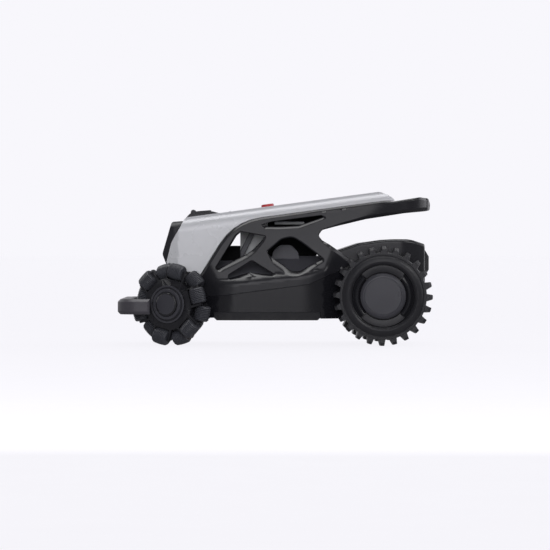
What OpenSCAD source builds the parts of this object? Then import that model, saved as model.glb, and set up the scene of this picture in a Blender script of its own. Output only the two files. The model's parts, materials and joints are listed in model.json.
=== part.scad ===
// Robotic lawn mower: a tilted shell on two open side frames, driven rear wheels,
// toed-in front wheels made of free rollers, and a height-adjusted blade disc below.
// +X is forward, +Y is left and +Z is up. The origin is on the ground below the middle.

/* [Body] */
// Height of the shell's top surface above the ground at the middle
shell_z = 339; // [336:1:342]
// Nose-down tilt of the shell
shell_tilt = 7.6; // [7.2:0.1:8]
// Half width of the shell and of the top of the side frames
top_half = 162; // [159:1:164]
// Half width of the chassis between the wheels
chassis_half = 215; // [213:1:216]
// Thickness of a side frame
frame_t = 14; // [12:1:16]
// Wall of the moulded shells
wall = 3.5; // [3:0.5:4]

/* [Rear wheels] */
// Diameter over the lugs
rear_d = 240; // [236:1:242]
// Width of the tyre
rear_w = 69; // [64:1:70]
// Lugs around the tyre
lug_count = 24; // [20:1:28]
// Height of a lug
lug_h = 15; // [12:1:16]

/* [Front wheels] */
// Diameter over the rollers' crowns
front_d = 200; // [198:1:202]
// Angle between the wheel and straight ahead
toe_in = 27; // [25:1:28]
// Largest diameter of a roller
roller_d = 39; // [38:0.5:39]
// Length of a roller
roller_len = 37; // [34:1:38]
// Distance between the two rows of rollers
row_gap = 24; // [24:1:26]

/* [Cutter] */
// Diameter of the blade disc
disc_d = 176; // [160:2:180]
// Diameter of the chamber that the blades turn in
chamber_d = 256; // [250:2:260]
// Travel of the cutter motor from its highest place to its lowest
lift_travel = 45; // [30:1:45]

/* [Bumper and controls] */
// Rearward travel of the bumper
bumper_travel = 8; // [5:1:8]
// Diameter of the stop button
stop_d = 31; // [28:1:32]
// Half width of the control panel
panel_half = 56; // [50:1:60]

/* [Hidden] */
$fn = 64;
eps = 0.01;
run_fit = 0.06;
shaft_r = 8;

// Places of the axles
rear_axle = [-260, rear_d / 2];
front_axle = [250, 200, front_d / 2];
rear_y0 = 196;
rear_y1 = rear_y0 + rear_w;
cutter_x = 19;
chamber_r = chamber_d / 2;
motor_r = 42;

ROLLERS = 12;
SIDES = ["left", "right"];

function roller_name(s, i) = str("front_", s, "_roller_", i);

// ---- Outlines ----

// Replaces each corner [x, y, radius] of a closed outline by an arc
function unit(v) = v / norm(v);
function xy(p) = [p[0], p[1]];
function corner_arc(a, p, b, r) =
    let (u = unit(a - p), v = unit(b - p), half = acos(max(-1, min(1, u * v))) / 2)
    r < 0.1 || half > 89.5 ? [p] :
    let (d = min(r / tan(half), 0.48 * norm(a - p), 0.48 * norm(b - p)),
         rr = d * tan(half), c = p + unit(u + v) * d / cos(half),
         s = p + u * d - c, e = p + v * d - c,
         turn = atan2(s[0] * e[1] - s[1] * e[0], s * e),
         n = max(1, round(abs(turn) / 12)), a0 = atan2(s[1], s[0]))
    [for (i = [0:n]) c + rr * [cos(a0 + turn * i / n), sin(a0 + turn * i / n)]];
function rounded(pts) = let (n = len(pts))
    [for (i = [0:n - 1]) each corner_arc(xy(pts[(i + n - 1) % n]), xy(pts[i]),
                                         xy(pts[(i + 1) % n]),
                                         len(pts[i]) > 2 ? pts[i][2] : 0)];
function flip_y(pts) = [for (i = [len(pts) - 1:-1:0]) [pts[i][0], -pts[i][1]]];
function arc(c, r, a0, a1, n) =
    [for (i = [0:n]) c + r * [cos(a0 + (a1 - a0) * i / n), sin(a0 + (a1 - a0) * i / n)]];

// Half plan outline of the upper body, rear to front
tail_x = -379;
tail_half = 150;
tail_r = 68;
function upper_half(inset) = concat(
    arc([tail_x + tail_r, tail_half - tail_r], tail_r - inset, 180, 90, 8),
    [for (p = [[-190, 174], [-167, 179], [-152, 185], [-138, 192], [-129, 201],
               [-116, 206], [-95, 211], [-59, chassis_half], [97, chassis_half],
               [130, 210], [150, 201], [174, 186], [200, 172], [262, 151]])
        [p[0], p[1] - inset]],
    [[292 - inset, 141 - inset]]);

// Half plan outline of the lower chassis, rear to front
chassis_rear = -364;
chassis_front = 300;
front_half = 130;
function lower_half(inset) = concat(
    [[chassis_rear + inset, 150 - inset], [-340, 174 - inset]],
    [for (p = [[-190, 174], [-167, 179], [-152, 185], [-138, 192], [-129, 201],
               [-116, 206], [-95, 211], [-59, chassis_half], [97, chassis_half],
               [130, 210], [150, 201], [172, 187]]) [p[0], p[1] - inset]],
    [[186 - inset, front_half - inset], [292, front_half - inset],
     [chassis_front - inset, 118]]);

// Seam between the silver shell and the side frames, rear to front
seam = [[-289, 350.4], [-262, 350.2, 20], [99.3, 301.1, 139], [181, 170.4]];
function backwards(pts) = [for (i = [len(pts) - 1:-1:0]) pts[i]];

// Parting line between the side frames and the chassis, front to rear
parting = [[183, 117], [157, 118.8], [109, 122.4], [37, 132], [-59, 144],
           [-80.6, 147.6], [-107, 158.4], [-131, 170.4], [-155, 179]];

frame_outline = rounded(concat(seam, parting, [
    [-193, 201.6], [-131, 244.8, 60], [-114, 254.4, 10], [-105, 266, 8],
    [-114, 279, 10], [-155, 289.9, 60], [-227, 307.2, 80], [-323, 322, 60],
    [-377, 326.9, 4], [-379.5, 342, 10], [-373, 357, 7], [-352, 359, 20]]));
window_front = rounded([[83.8, 276, 2], [24, 265.2, 3], [31, 255, 4], [54, 231.6, 10],
    [71, 219.6, 14], [140.2, 184.8, 2.5], [143.8, 188.4, 2], [96, 266, 10]]);
window_mid = rounded([[15.4, 219.6, 2], [19.5, 226.8, 3], [-15.8, 257, 22],
    [-42, 263, 26], [-66, 248, 40], [-102.2, 220.8, 10], [-116, 210, 2.5],
    [-97.4, 199.2, 20], [-58, 179, 14], [-38, 180.5, 14]]);
window_low = rounded([[56.2, 206, 8], [1, 171.5, 2], [5.8, 168.6, 2], [139, 153, 1.5]]);
window_slot = rounded([[33.4, 291.6, 1], [8, 299.3, 30], [-112, 314.6, 1.5],
    [-118, 312, 1.5], [-60, 290.6, 20], [-11, 287.8, 20], [30, 289, 1]]);

shell_outline = rounded(concat(backwards(seam), [
    [-291, 351, 1], [-289.5, 354.5, 3], [-279, 362.8, 20], [-262, 370.5, 30],
    [-240, 375, 30], [214, 326], [214.6, 312, 2],
    [252, 249, 120], [263.8, 202, 6], [262, 190]]));
shell_cavity = rounded([[-285, 300], [-285, 353, 3], [-276.5, 360, 18], [-260.5, 367, 28],
    [-238, 371.5, 20], [-200, 390], [340, 390], [340, 140], [120, 140]]);
nose_outline = rounded([[118, 241], [118, 309], [190, 300.5], [224, 301.2, 2],
    [251, 299.2, 8], [274, 221, 14], [262, 190, 4], [262, 165], [183, 165], [183, 241]]);
dome_outline = rounded([[-152, 179.3], [-152, 230.3, 3], [-203, 247.5, 60],
    [-262, 257.3, 60], [-325, 257, 50], [-364, 243, 10], [-364, 179.3]]);
chassis_outline = rounded(concat([[183, 165], [296, 165], [300, 160], [300, 78], [289, 67],
    [148, 67], [148, 81], [-110, 81], [-110, 65], [-332, 65], [-364, 116], [-364, 179]],
    backwards(parting)));
chassis_cavity = [[179, 200], [179, 71], [144, 71], [144, 85], [-106, 85], [-114, 69],
    [-330, 69], [-360, 118], [-360, 200]];
front_cavity = [[187, 200], [187, 71], [258, 71], [258, 200]];

// ---- Placing helpers ----

// Extrudes an [x, z] outline along Y from y0 to y1
module along_y(y0, y1) {
    translate([0, y1, 0]) rotate([90, 0, 0]) linear_extrude(y1 - y0) children();
}

// Extrudes a [y, z] outline along X from x0 to x1
module along_x(x0, x1) {
    translate([x0, 0, 0]) rotate([90, 0, 90]) linear_extrude(x1 - x0) children();
}

module plan(half_outline, z0, z1) {
    translate([0, 0, z0]) linear_extrude(z1 - z0)
        polygon(concat(half_outline, flip_y(half_outline)));
}

module box(lo, hi) {
    translate(lo) cube(hi - lo);
}

module mirrored() {
    children();
    mirror([0, 1, 0]) children();
}

module on_side(side) {
    mirror([0, side == "left" ? 0 : 1, 0]) children();
}

// Frame whose XY plane is the shell's top surface, +X forward along it
module on_shell() {
    translate([0, 0, shell_z]) rotate([0, shell_tilt, 0]) children();
}

// ---- Body skins ----

// The leaning flanks of the upper body, brought in by the inset
lean_tilt = 6.1;
module flanks(inset) {
    t = top_half - inset;
    g = chassis_half + 2 - inset;
    translate([0, 0, 160.4]) rotate([0, lean_tilt, 0]) along_x(-460, 340)
        polygon([[g, -120], [g, 0], [t, 149.6], [t - 5, 240], [5 - t, 240], [-t, 149.6],
                 [-g, 0], [-g, -120]]);
}

module upper_skin(inset) {
    intersection() {
        plan(upper_half(inset), 90, 390);
        flanks(inset);
    }
}

// Inverted channel under the tilted top surface, with rounded shoulders
shoulder_r = 34;
shell_inset = 3;
module shell_channel(inset) {
    h = top_half - 5 - inset;
    on_shell() along_x(-330, 300)
        polygon(rounded([[-h, -260], [h, -260], [h, -inset, shoulder_r - inset],
                         [-h, -inset, shoulder_r - inset]]));
}

module top_shell() {
    color("silver") difference() {
        intersection() {
            along_y(-230, 230) polygon(shell_outline);
            upper_skin(shell_inset);
            shell_channel(0);
        }
        intersection() {
            upper_skin(shell_inset + wall);
            shell_channel(wall);
            along_y(-230, 230) polygon(shell_cavity);
        }
        on_shell() translate([stop_u, 0, -20]) cylinder(h = 30, r = stop_d / 2 + run_fit);
    }
}

module side_frame() {
    color("dimgray") difference() {
        intersection() {
            along_y(handle_half, 230) difference() {
                polygon(frame_outline);
                polygon(window_front);
                polygon(window_mid);
                polygon(window_low);
                polygon(window_slot);
            }
            upper_skin(0);
        }
        upper_skin(frame_t);
    }
}

handle_half = 112;
module rear_handle() {
    color("dimgray") intersection() {
        along_y(-handle_half, handle_half) polygon(rounded([
            [-334, 322.8, 6], [-377, 326.9, 5], [-379.5, 342, 10], [-373, 357, 8],
            [-350, 359, 14], [-334, 355, 8]]));
        plan(upper_half(0), 300, 380);
    }
}

// ---- Nose ----

nose_half = 150;
glass_t = 4;
glass_half = 92;
window_cut = [[247, 291], [265, 233]];
module nose_solid(inset) {
    intersection() {
        along_y(inset - nose_half, nose_half - inset) polygon(nose_outline);
        upper_skin(shell_inset + wall + 1 + inset);
        shell_channel(wall + 1 + inset);
    }
}

// The slanted pocket in the nose's front face that takes the dark window
module window_pocket(depth, half) {
    u = unit(window_cut[1] - window_cut[0]);
    n = [-u[1], u[0]];
    a = window_cut[0] - n * depth;
    b = window_cut[1] - n * depth;
    along_y(-half, half) polygon([a, b, b + n * 40, a + n * 40]);
}

nose_cavity = [[122, 245], [122, 330], [235, 330], [243, 297], [265, 221], [254, 186],
    [254, 150], [187, 150], [187, 245]];
camera_y = 52;
camera_r = 16;
lens_r = 12.7;
module at_cameras() {
    for (y = [-camera_y, camera_y]) translate([252, y, 262]) rotate([0, 90 + window_lean, 0]) children();
}

module nose_housing() {
    color("dimgray") difference() {
        nose_solid(0);
        intersection() {
            nose_solid(wall);
            along_y(-nose_half, nose_half) polygon(nose_cavity);
        }
        window_pocket(glass_t, glass_half);
        at_cameras() cylinder(h = 60, r = camera_r + run_fit, center = true);
    }
}

window_lean = atan((window_cut[1][0] - window_cut[0][0]) / (window_cut[1][1] - window_cut[0][1]));
module camera_window() {
    color("black") difference() {
        intersection() {
            nose_solid(0);
            window_pocket(glass_t, glass_half - 0.3);
        }
        at_cameras() cylinder(h = 60, r = lens_r + 0.3, center = true);
    }
}

module camera_modules() {
    color("darkslategray") at_cameras() {
        translate([0, 0, -26]) cylinder(h = 25.6, r = camera_r);
        translate([0, 0, -0.4 - eps]) cylinder(h = 7, r = lens_r);
    }
}

// ---- Deck, tower and chassis ----

module above_parting() {
    along_y(-240, 240) polygon(concat(parting, [[-155, 400], [183, 400]]));
}

deck_rear = -149;
deck_front = 176;
crest_z = 216;
block_half = 104;
block_top = 240.9;
tower_front = 85;
tower_rear = -102;
module deck_solid(inset) {
    g = chassis_half - frame_t;
    intersection() {
        along_x(deck_rear + inset, deck_front - inset) polygon([
            [g, 110], [g, 150 - inset], [84, crest_z - inset], [-84, crest_z - inset],
            [-g, 150 - inset], [-g, 110]]);
        plan(upper_half(frame_t + 0.5 + inset), 100, 300);
    }
    box([tower_front + 0.2 + inset, inset - block_half, 190],
        [deck_front - inset, block_half - inset, block_top - inset]);
}

// Rounded humps on the deck, beside the electronics housing
hump_outline = rounded([[-60, 206], [-56, 226, 14], [-40, 243, 16], [-12, 243, 16],
    [5, 228, 14], [8, 206]]);
hump_y0 = 66;
hump_y1 = 96;

module deck_cover() {
    color("gray") {
        difference() {
            intersection() {
                deck_solid(0);
                above_parting();
            }
            deck_solid(wall);
        }
        mirrored() along_y(hump_y0, hump_y1) polygon(hump_outline);
    }
}

// Electronics housing: from the deck up to the shell, with a rail along each side
tower_half = 64;
rail_half = 80;
module centre_tower() {
    inner = tower_half - wall;
    color("lightgray") difference() {
        intersection() {
            union() {
                along_y(-tower_half, tower_half) polygon([[tower_front, crest_z],
                    [tower_front, 330], [38, 330], [38, 318], [-128, 340.8], [-128, 290],
                    [tower_rear, 280], [tower_rear, crest_z]]);
                along_y(-rail_half, rail_half)
                    polygon([[1, 293], [1, 300], [-71, 300], [-71, 293]]);
            }
            shell_channel(wall + 0.3);
        }
        along_y(-inner, inner) polygon([[tower_front - 4, crest_z - 1],
            [tower_front - 4, 312], [tower_rear + 4, 312], [tower_rear + 4, crest_z - 1]]);
    }
}

module control_board() {
    color("darkgreen") {
        box([50, -50, crest_z], [52, 50, 306]);
        for (z = [236, 258, 280]) box([52, -30, z], [56 + z / 100, 24, z + 14]);
    }
}

module chassis_body() {
    difference() {
        intersection() {
            along_y(-240, 240) polygon(chassis_outline);
            plan(lower_half(0), 50, 190);
        }
        intersection() {
            along_y(-240, 240) polygon(chassis_cavity);
            plan(lower_half(4), 50, 190);
        }
        intersection() {
            along_y(4 - front_half, front_half - 4) polygon(front_cavity);
            plan(lower_half(4), 50, 190);
        }
    }
}

chamber_top = 112;
drum_t = 4;
collar_top = 132;
stem_y = 72;
stem_r = 9;
stem_z = 94;
// Drum that the blades turn in, with the collar that the cutter motor slides in
module cutter_drum() {
    translate([cutter_x, 0, 0]) rotate_extrude() polygon([
        [chamber_r, 81.2], [chamber_r + drum_t, 81.2],
        [chamber_r + drum_t, chamber_top + drum_t], [motor_r + 6, chamber_top + drum_t],
        [motor_r + 6, collar_top], [motor_r + run_fit, collar_top],
        [motor_r + run_fit, chamber_top], [chamber_r, chamber_top]]);
}

module lower_chassis() {
    color("dimgray") cutter_drum();
    color("dimgray") difference() {
        chassis_body();
        translate([cutter_x, 0, 50]) cylinder(h = 50, r = chamber_r + drum_t + 0.2);
        for (y = [-stem_y, stem_y])
            translate([180, y, stem_z]) rotate([0, 90, 0]) cylinder(h = 140, r = stem_r + run_fit);
        mirrored() translate([rear_axle[0], 160, rear_axle[1]]) rotate([-90, 0, 0])
            cylinder(h = 30, r = shaft_r + 4);
        at_screws() cylinder(h = 30, r = screw_r + 0.05);
    }
}

// Places of the screws that hold the skid plate
screw_r = 2;
screw_points = [[136, 0], [118, 150], [118, -150], [19, 190], [19, -190],
                [-82, 150], [-82, -150], [-104, 0]];
module at_screws() {
    for (p = screw_points) translate([p[0], p[1], 61]) children();
}

module skid_plate() {
    color("dimgray") difference() {
        intersection() {
            along_y(-240, 240) polygon(rounded([[147.4, 81], [147.4, 67, 2], [141, 61, 3],
                [-103, 61, 3], [-109.4, 67, 2], [-109.4, 81]]));
            plan(lower_half(2), 50, 90);
        }
        difference() {
            intersection() {
                box([-105.4, -240, 66], [143.4, 240, 90]);
                plan(lower_half(6), 50, 90);
            }
            translate([cutter_x, 0, 60]) cylinder(h = 30, r = chamber_r + 4);
            at_screws() cylinder(h = 30, r = 7);
        }
        translate([cutter_x, 0, 50]) cylinder(h = 50, r = chamber_r);
        at_screws() {
            cylinder(h = 30, r = screw_r + 0.05);
            translate([0, 0, -1]) cylinder(h = 3.2, r = 4.6);
        }
    }
}

module screws() {
    color("silver") at_screws() {
        translate([0, 0, 0.4]) cylinder(h = 1.8, r = 4.4);
        translate([0, 0, 2.2 - eps]) cylinder(h = 21.5, r = screw_r);
    }
}

dome_half = 156;
step_half = 172;
housing_t = 4;
module rear_housing() {
    color("dimgray") difference() {
        union() {
            along_y(-dome_half, dome_half) polygon(dome_outline);
            along_y(-step_half, step_half) polygon(rounded([[-206, 179.3], [-206, 236, 16],
                [-262, 249, 60], [-322, 248, 40], [-345, 236, 14], [-345, 179.3]]));
        }
        along_y(housing_t - dome_half, dome_half - housing_t) polygon([[-156, 178], [-156, 227], [-203, 243.5],
            [-262, 253], [-325, 252], [-360, 239], [-360, 178]]);
        along_y(housing_t - step_half, step_half - housing_t) polygon([[-210, 178], [-210, 232], [-262, 244.5],
            [-322, 243.5], [-341, 232], [-341, 178]]);
    }
}

pad_half = 58;
module charging_pad() {
    color("black") along_y(-pad_half, pad_half) polygon(rounded([[-364, 170], [-372, 175, 3],
        [-377, 182.4, 4], [-377, 214.8, 4], [-368.6, 229, 3], [-364, 232]]));
}

module battery_pack() {
    color("royalblue") {
        box([-328, -86, 69], [-206, 86, 150]);
        box([-290, -20, 150], [-250, 20, 156]);
    }
}

motor_wall_y = 170;
module drive_motors() {
    color("slategray") mirrored() translate([rear_axle[0], 0, rear_axle[1]]) rotate([-90, 0, 0]) {
        translate([0, 0, 92]) cylinder(h = 62, r = 32);
        translate([0, 0, 154 - eps]) cylinder(h = motor_wall_y - 154, r = 44);
        translate([0, 0, motor_wall_y - 1]) cylinder(h = 76, r = shaft_r);
    }
}

// ---- Controls on the shell ----

stop_u = 18;
stop_out = 7;
module stop_button() {
    color("firebrick") on_shell() translate([stop_u, 0, 0]) rotate_extrude() polygon(
        concat([[0, -9], [stop_d / 2, -9]],
               arc([stop_d / 2 - 2.5, stop_out - 2.5], 2.5, 0, 90, 4), [[0, stop_out]]));
}

hinge_u = 200.5;
hinge_h = 10.5;
knuckle_r = 6.5;
pin_r = 2;
tray_h = 6.6;
power_r = 6;
power_u = 175;
module panel_base() {
    color("black") on_shell() difference() {
        union() {
            along_y(-panel_half, panel_half) polygon(rounded([[137, 0.02], [153, tray_h, 2],
                [192, tray_h], [192, 2], [208, 2], [208, 10, 3], [220, 0.02]]));
            mirrored() translate([0, 40, 0]) along_y(0, panel_half - 40) polygon(
                [[192, 1], [192, tray_h], [193.9, tray_h], [194.2, 9], [209, 9], [209, 1]]);
            mirrored() translate([hinge_u, 40, hinge_h]) rotate([-90, 0, 0])
                cylinder(h = panel_half - 40, r = knuckle_r);
            translate([hinge_u, -41, hinge_h]) rotate([-90, 0, 0]) cylinder(h = 82, r = pin_r);
        }
        box([162, -44, 2.4], [188, 44, 20]);
        translate([power_u, 0, 0.5]) cylinder(h = 10, r = power_r + run_fit);
    }
}

module panel_lid() {
    color("black") on_shell() difference() {
        union() {
            along_y(-panel_half, panel_half) polygon(rounded([[157, 7], [157, 10.4, 2],
                [190, 12.2, 2], [193.2, 11, 1], [193.2, 7]]));
            along_y(-39.6, 39.6) polygon([[190, 7], [hinge_u, 7], [hinge_u, 12], [190, 12]]);
            translate([hinge_u, -39.6, hinge_h]) rotate([-90, 0, 0])
                cylinder(h = 79.2, r = knuckle_r);
        }
        translate([hinge_u, -45, hinge_h]) rotate([-90, 0, 0])
            cylinder(h = 90, r = pin_r + run_fit);
    }
}

module power_button() {
    color("gainsboro") on_shell() translate([power_u, 0, 1.8]) cylinder(h = 3.2, r = power_r);
}

// ---- Bumper ----

bar_outline = rounded([[356, 78, 3], [356, 110, 3], [361, 113, 3], [373, 113, 5],
    [380, 106, 4], [380, 82, 4], [374, 75.6, 4], [361, 75.6, 3]]);
bumper_half = 245;
bumper_r = 46;
stem_back = 260 + bumper_travel;
arm_end = 301;
module bumper() {
    bend_x = 380 - bumper_r;
    straight = bumper_half - bumper_r;
    profile = [for (p = bar_outline) [p[0] - bend_x, p[1]]];
    inner = straight + profile[0][0];
    color("dimgray") {
        along_y(-straight, straight) polygon(bar_outline);
        mirrored() {
            translate([bend_x, straight, 0]) rotate_extrude(angle = 90) polygon(profile);
            intersection() {
                along_x(arm_end, bend_x) polygon([for (p = profile) p + [straight, 0]]);
                linear_extrude(200) polygon(rounded([[arm_end, inner - 1, 11],
                    [arm_end, bumper_half + 1, 11], [bend_x + 1, bumper_half + 1],
                    [bend_x + 1, inner - 1]]));
            }
        }
        for (y = [-stem_y, stem_y]) translate([stem_back, y, stem_z]) rotate([0, 90, 0])
            cylinder(h = 357 - stem_back, r = stem_r);
    }
}

// ---- Cutter ----

disc_z = 74;
blade_pivot_r = disc_d / 2 - 16;
module cutter_motor() {
    color("slategray") translate([cutter_x, 0, 0]) {
        translate([0, 0, 85]) cylinder(h = 112, r = motor_r);
        translate([0, 0, collar_top + lift_travel + 2]) cylinder(h = 5, r = motor_r + 9);
        translate([0, 0, disc_z]) cylinder(h = 12, r = 6);
    }
}

module blade_disc() {
    color("orange") translate([cutter_x, 0, 0]) difference() {
        union() {
            translate([0, 0, disc_z]) cylinder(h = 3.5, r = disc_d / 2);
            translate([0, 0, disc_z]) cylinder(h = 9, r = 20);
            for (a = [0:120:240]) rotate([0, 0, a]) translate([blade_pivot_r, 0, 0]) {
                translate([0, 0, disc_z - 6]) cylinder(h = 7, r = 4);
                translate([0, 0, disc_z - 8]) cylinder(h = 3, r = 6.5);
            }
        }
        translate([0, 0, disc_z - 1]) cylinder(h = 20, r = 6 + run_fit);
    }
}

blade_reach = 38;
module blade(i) {
    color("gainsboro") translate([cutter_x, 0, 0]) rotate([0, 0, 120 * (i - 1)])
        translate([blade_pivot_r, 0, disc_z - 3.4]) linear_extrude(2) difference() {
            polygon(rounded([[-9, -9, 8], [-9, 9, 8], [blade_reach - 6, 9, 1],
                             [blade_reach, 3, 1], [blade_reach, -3, 1],
                             [blade_reach - 6, -9, 1]]));
            circle(r = 4 + run_fit);
        }
}

// ---- Rear wheels ----

rim_r = 77;
carcass_r = rear_d / 2 - lug_h;
module on_rear_axle(side) {
    on_side(side) translate([rear_axle[0], 0, rear_axle[1]]) rotate([-90, 0, 0]) children();
}

module rear_tyre(side) {
    lug = 360 / lug_count;
    top = rear_d / 2;
    color("dimgray") on_rear_axle(side) {
        rotate_extrude() polygon(rounded([[rim_r, rear_y0 + 4], [84, rear_y0 + 3, 3],
            [90, rear_y0, 6], [carcass_r - 3, rear_y0 + 2, 5], [carcass_r, rear_y0 + 8, 5],
            [carcass_r, rear_y1 - 8, 5], [carcass_r - 3, rear_y1 - 2, 5],
            [90, rear_y1, 6], [84, rear_y1 - 3, 3], [rim_r, rear_y1 - 4]]));
        for (i = [0:lug_count - 1]) rotate([0, 0, i * lug])
            translate([0, 0, rear_y0 + 3]) linear_extrude(rear_w - 6) polygon([
                (carcass_r - 1) * [cos(-6.4), sin(-6.4)], top * [cos(-2.6), sin(-2.6)],
                top * [cos(2.4), sin(2.4)], (carcass_r - 1) * [cos(3.6), sin(3.6)]]);
    }
}

module rear_rim(side) {
    y1 = rear_y1 - 6;
    color("dimgray") on_rear_axle(side) difference() {
        union() {
            rotate_extrude() polygon([[rim_r, rear_y0 + 4], [rim_r, rear_y1 - 4],
                [rim_r - 4, rear_y1 - 4], [rim_r - 6, y1 - 4], [46, y1], [46, y1 - 8],
                [30, y1 - 12], [30, y1 - 20], [rim_r - 8, y1 - 14], [rim_r - 6, y1 - 20],
                [rim_r - 6, rear_y0 + 4]]);
            translate([0, 0, rear_y0 + 6]) cylinder(h = y1 - 12 - rear_y0 - 6, r = 32);
        }
        translate([0, 0, rear_y0]) cylinder(h = rear_w, r = shaft_r + run_fit);
        for (a = [45:90:315]) rotate([0, 0, a]) box([53, -1, y1 - 5], [70, 1, y1 + 5]);
    }
}

module rear_cap(side) {
    y1 = rear_y1 - 6;
    color("gray") on_rear_axle(side)
        rotate_extrude() polygon([[0, y1 - 7.9], [45.9, y1 - 7.9], [45.9, y1], [51, y1 + 1],
            [50, y1 + 3], [43, y1 + 5.5], [0, y1 + 6]]);
}

// ---- Front wheels ----

crown_r = front_d / 2;
roller_r = roller_d / 2;
roller_c = crown_r - roller_r;
roller_pin_r = 3;
hub_r = 46;
row_w = row_gap / 2;
pin_tuck = 4;
arm_t = 5;
first_roller = 15;
module on_front_axle(side) {
    on_side(side) translate(front_axle) rotate([0, 0, -toe_in]) rotate([-90, 0, 0]) children();
}

// Angle about the axle of roller i: the odd ones are the outer row, the even the inner
function roller_turn(i) = first_roller + 30 * (i - 1);
function roller_side(i) = i % 2 == 1 ? 1 : -1;

plate_r = 63;
module spider() {
    side_w = roller_len / 2 + 0.8;
    difference() {
        union() {
            translate([0, 0, row_w - 3.6]) cylinder(h = 9.6, r = plate_r);
            for (a = [0:60:300]) rotate([0, 0, a]) for (y = [side_w, -side_w - arm_t])
                box([56, y, row_w - 3.6], [roller_c + 6.5, y + arm_t, row_w + 6]);
        }
        for (a = [0:60:300]) rotate([0, 0, a])
            box([roller_c - roller_r - 1, -side_w, -40], [120, side_w, 40]);
    }
    for (a = [0:60:300]) rotate([0, 0, a])
        translate([roller_c, roller_len / 2 + pin_tuck, row_w]) rotate([90, 0, 0])
            cylinder(h = roller_len + 2 * pin_tuck, r = roller_pin_r);
}

module front_hub(side) {
    color("dimgray") on_front_axle(side) {
        difference() {
            union() {
                translate([0, 0, -24]) cylinder(h = 46, r = hub_r);
                rotate([0, 0, first_roller]) spider();
                rotate([0, 0, first_roller + 30]) mirror([0, 0, 1]) spider();
            }
            translate([0, 0, -30]) cylinder(h = 48, r = shaft_r + run_fit);
        }
        rotate_extrude() polygon([[0, 20], [28, 20], [28, 28], [25, 30], [0, 30.5]]);
    }
}

function roller_profile() = let (h = roller_len / 2, e = 4, n = 8)
    concat([[roller_pin_r + run_fit, -h]],
           [for (i = [0:n]) let (y = -h + e + (roller_len - 2 * e) * i / n,
                                 r = sqrt(crown_r * crown_r - y * y) - roller_c)
               each i == 0 ? [[r - 5, -h], [r - 1.2, -h + e / 3], [r, y]] :
                    i == n ? [[r, y], [r - 1.2, h - e / 3], [r - 5, h]] : [[r, y]]],
           [[roller_pin_r + run_fit, h]]);

module front_roller(side, i) {
    color("dimgray") on_front_axle(side) rotate([0, 0, roller_turn(i)])
        translate([roller_c, 0, roller_side(i) * row_w]) rotate([90, 0, 0])
            rotate_extrude() polygon(roller_profile());
}

module front_axles() {
    color("slategray") {
        for (side = SIDES) {
            difference() {
                on_front_axle(side) {
                    translate([0, 0, -110]) cylinder(h = 76, r = 20);
                    translate([0, 0, -40]) cylinder(h = 56, r = shaft_r);
                }
                on_side(side) box([100, -100, 0], [320, front_half, 200]);
            }
            on_side(side) box([188, front_half, 74], [256, front_half + 5, 126]);
        }
    }
}

// ---- The parts ----

lower_chassis();
deck_cover();
skid_plate();
side_frame();  // left_side_frame
mirror([0, 1, 0]) side_frame();  // right_side_frame
rear_handle();
top_shell();
nose_housing();
camera_window();
camera_modules();
centre_tower();
battery_pack();
control_board();
panel_base();
panel_lid();
stop_button();
power_button();
rear_housing();
charging_pad();
front_axles();
drive_motors();
screws();
bumper();
cutter_motor();
blade_disc();
blade(1);  // blade_1
blade(2);  // blade_2
blade(3);  // blade_3
for (s = SIDES) {
    rear_tyre(s);
    rear_rim(s);
    rear_cap(s);
    front_hub(s);
    for (i = [1:ROLLERS])
        front_roller(s, i);
}
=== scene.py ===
"""Looks of the robotic lawn mower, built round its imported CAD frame.

+X is forward, +Y is left and +Z is up, in metres. Outlines are in millimetres.
"""
import json
import math

import bmesh
import bpy
import numpy as np
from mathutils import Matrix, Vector, geometry

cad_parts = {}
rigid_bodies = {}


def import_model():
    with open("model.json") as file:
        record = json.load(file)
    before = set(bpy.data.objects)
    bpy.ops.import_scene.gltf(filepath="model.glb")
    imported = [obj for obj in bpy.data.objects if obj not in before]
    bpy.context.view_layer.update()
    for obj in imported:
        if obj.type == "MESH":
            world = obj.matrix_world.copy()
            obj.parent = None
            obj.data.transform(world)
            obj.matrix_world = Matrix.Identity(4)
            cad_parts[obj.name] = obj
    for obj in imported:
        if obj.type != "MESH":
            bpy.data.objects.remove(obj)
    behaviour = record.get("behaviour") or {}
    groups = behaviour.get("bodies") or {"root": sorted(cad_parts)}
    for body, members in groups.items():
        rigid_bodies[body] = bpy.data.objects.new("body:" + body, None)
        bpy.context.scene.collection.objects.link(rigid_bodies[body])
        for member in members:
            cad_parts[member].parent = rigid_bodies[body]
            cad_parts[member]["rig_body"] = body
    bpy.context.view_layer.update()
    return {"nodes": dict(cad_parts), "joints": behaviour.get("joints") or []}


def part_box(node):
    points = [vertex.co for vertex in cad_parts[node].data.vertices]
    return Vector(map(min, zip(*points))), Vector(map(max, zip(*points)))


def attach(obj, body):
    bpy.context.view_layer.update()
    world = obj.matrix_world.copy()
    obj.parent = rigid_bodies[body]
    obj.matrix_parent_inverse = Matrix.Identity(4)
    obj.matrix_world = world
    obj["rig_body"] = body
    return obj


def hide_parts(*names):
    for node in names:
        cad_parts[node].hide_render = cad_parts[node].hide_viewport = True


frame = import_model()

MM = 0.001
JOINTS = {j["name"]: j for j in frame["joints"]}
SIDES = {"left": 1, "right": -1}
SURFACE = "surface_normal"  # mesh layer with the exact normals of a sheet's own surface

# ---------------------------------------------------------------- outlines


def corner_frame(a, p, b):
    """Unit vectors from p to its neighbours and half the angle between them."""
    u, v = (a - p).normalized(), (b - p).normalized()
    return u, v, math.acos(max(-1.0, min(1.0, u.dot(v)))) / 2


SHARP_R, SHARP_WIDTH = 0.4, 1.5  # corner radius and chamfer where an outline gives none
ARC_STEP = math.radians(10)
EDGE_SHARE = 0.48  # the most of an edge that the rounding of one of its ends takes
STRAIGHT = 0.3  # sine of the turn below which a corner counts as straight on


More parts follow.
